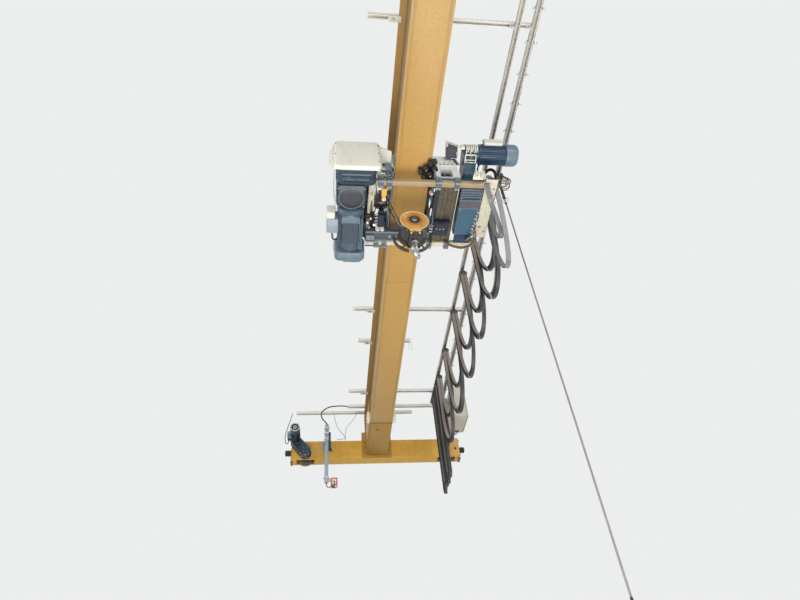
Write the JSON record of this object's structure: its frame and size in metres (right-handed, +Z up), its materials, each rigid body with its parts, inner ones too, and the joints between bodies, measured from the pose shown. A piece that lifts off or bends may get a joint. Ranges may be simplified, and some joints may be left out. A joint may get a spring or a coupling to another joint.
{
  "type": "overhead bridge crane",
  "caption": "Single-girder overhead travelling crane with a low-headroom wire rope hoist trolley, festoon cable loops and a hanging control pendant.",
  "frame": {"origin": "mid-span between the two runway rails, midway between the end carriages' wheels, at the level of the rails' tops", "axes": "+X along the runway, +Y along the girder towards the end with the electrical panel, +Z up"},
  "size_m": [2.605, 12.212, 4.6],
  "materials": {
    "girder_yellow": "semi-gloss yellow enamel, greasy under the trolley's path",
    "shaded_yellow": "the same enamel on the webs and ends",
    "carriage_yellow": "semi-gloss yellow enamel",
    "wheel_steel": "turned and worn",
    "buffer_rubber": "matt cellular rubber",
    "deep_blue": "semi-gloss blue enamel",
    "frame_blue": "light blue enamel on castings",
    "motor_blue": "grey-blue enamel",
    "cover_white": "off-white powder coat",
    "panel_beige": "pale powder coat, dusty",
    "galvanised": "dull zinc",
    "mast_paint": "blue-grey enamel",
    "collector_red": "moulded plastic",
    "flat_cable": "black rubber with a soft sheen",
    "carrier_steel": "dull steel and black plastic",
    "tube_steel": "oily primer",
    "drum_steel": "machined, greased",
    "wire_rope": "greased strands",
    "block_orange": "golden enamel, scuffed",
    "block_black": "black enamel",
    "hook_steel": "forged, worn bright in the bowl",
    "latch_zinc": "pressed sheet, zinc",
    "pendant_yellow": "moulded plastic",
    "cable_black": "round cable sheath"
  },
  "bodies": {
    "bridge": {"girder_bottom_flange": "girder_yellow", "girder_webs": "shaded_yellow", "girder_top_flange": "girder_yellow", "girder_end_boxes": "shaded_yellow", "head_plates": "shaded_yellow", "trolley_end_stops": "carriage_yellow", "far_end_carriage": "carriage_yellow", "near_end_carriage": "carriage_yellow", "carriage_wheels": "wheel_steel", "carriage_buffers": "buffer_rubber", "travel_gearboxes": "deep_blue", "travel_motors": "deep_blue", "support_arms": "galvanised", "arm_clamps": "galvanised", "festoon_rail": "galvanised", "control_rail": "galvanised", "rail_conduit": "galvanised", "electrical_panel": "panel_beige", "collector_mast": "mast_paint", "current_collector": "collector_red", "festoon_bundle": "flat_cable"},
    "trolley": {"cross_tubes": "tube_steel", "left_side_frame": "frame_blue", "right_side_frame": "frame_blue", "trolley_wheels": "wheel_steel", "hoist_enclosure": "cover_white", "hoist_gearbox": "deep_blue", "hoist_motor": "motor_blue", "motor_terminal_box": "motor_blue", "rope_drum": "drum_steel", "rope_guide": "galvanised", "upper_sheaves": "wheel_steel", "drive_box": "deep_blue", "tow_arm": "panel_beige", "trolley_gearbox": "deep_blue", "trolley_motor": "deep_blue", "rope_falls": "wire_rope"},
    "hook_block": {"block_sheaves": "drum_steel", "block_covers": "block_orange", "block_frame": "block_black"},
    "hook": {"hook": "hook_steel"},
    "latch": {"hook_latch": "latch_zinc"},
    "carrier_5": {"festoon_carrier_5": "carrier_steel", "festoon_loop_5": "flat_cable"},
    "carrier_4": {"festoon_carrier_4": "carrier_steel", "festoon_loop_4": "flat_cable"},
    "carrier_3": {"festoon_carrier_3": "carrier_steel", "festoon_loop_3": "flat_cable"},
    "carrier_2": {"festoon_carrier_2": "carrier_steel", "festoon_loop_2": "flat_cable"},
    "carrier_1": {"festoon_carrier_1": "carrier_steel", "festoon_loop_1": "flat_cable"},
    "pendant": {"pendant_carrier": "carrier_steel", "pendant_cable": "cable_black", "pendant_station": "pendant_yellow"}
  },
  "joints": [
    {"name": "trolley_travel", "type": "slide", "parent": "bridge", "child": "trolley", "axis": [0, 1, 0], "range_m": [-5.86, 2.92]},
    {"name": "hoist_lift", "type": "slide", "parent": "trolley", "child": "hook_block", "axis": [0, 0, -1], "range_m": [0, 5], "deforming": ["rope_falls"]},
    {"name": "hook_swivel", "type": "hinge", "parent": "hook_block", "child": "hook", "pos_m": [0, 1.45, -0.47], "axis": [0, 0, 1], "continuous": true},
    {"name": "latch_hinge", "type": "hinge", "parent": "hook", "child": "latch", "pos_m": [0.00229, 1.45328, -0.523], "axis": [-0.8192, 0.5736, 0], "range_deg": [0, 30], "stiffness_Nm_per_rad": 0.2, "springref_deg": -17.19},
    {"name": "pendant_travel", "type": "slide", "parent": "bridge", "child": "pendant", "axis": [0, 1, 0], "range_m": [-7.2, 3.8]},
    {"name": "carrier_5_slide", "type": "slide", "parent": "bridge", "child": "carrier_5", "axis": [0, 1, 0], "range_m": [-1.0646, 0.531], "deforming": ["festoon_loop_5"]},
    {"name": "carrier_4_slide", "type": "slide", "parent": "carrier_5", "child": "carrier_4", "axis": [0, 1, 0], "range_m": [-1.3857, 0.691], "deforming": ["festoon_loop_4"]},
    {"name": "carrier_3_slide", "type": "slide", "parent": "carrier_4", "child": "carrier_3", "axis": [0, 1, 0], "range_m": [-1.2052, 0.6011], "deforming": ["festoon_loop_3"]},
    {"name": "carrier_2_slide", "type": "slide", "parent": "carrier_3", "child": "carrier_2", "axis": [0, 1, 0], "range_m": [-1.0247, 0.5111], "deforming": ["festoon_loop_2"]},
    {"name": "carrier_1_slide", "type": "slide", "parent": "carrier_2", "child": "carrier_1", "axis": [0, 1, 0], "range_m": [-1.1847, 0.5908], "deforming": ["festoon_loop_1"]}
  ],
  "couplings": [
    {"joint": "carrier_5_slide", "follows": "trolley_travel", "ratio": 0.1815},
    {"joint": "carrier_4_slide", "follows": "trolley_travel", "ratio": 0.2363},
    {"joint": "carrier_3_slide", "follows": "trolley_travel", "ratio": 0.2055},
    {"joint": "carrier_2_slide", "follows": "trolley_travel", "ratio": 0.1747},
    {"joint": "carrier_1_slide", "follows": "trolley_travel", "ratio": 0.202}
  ]
}
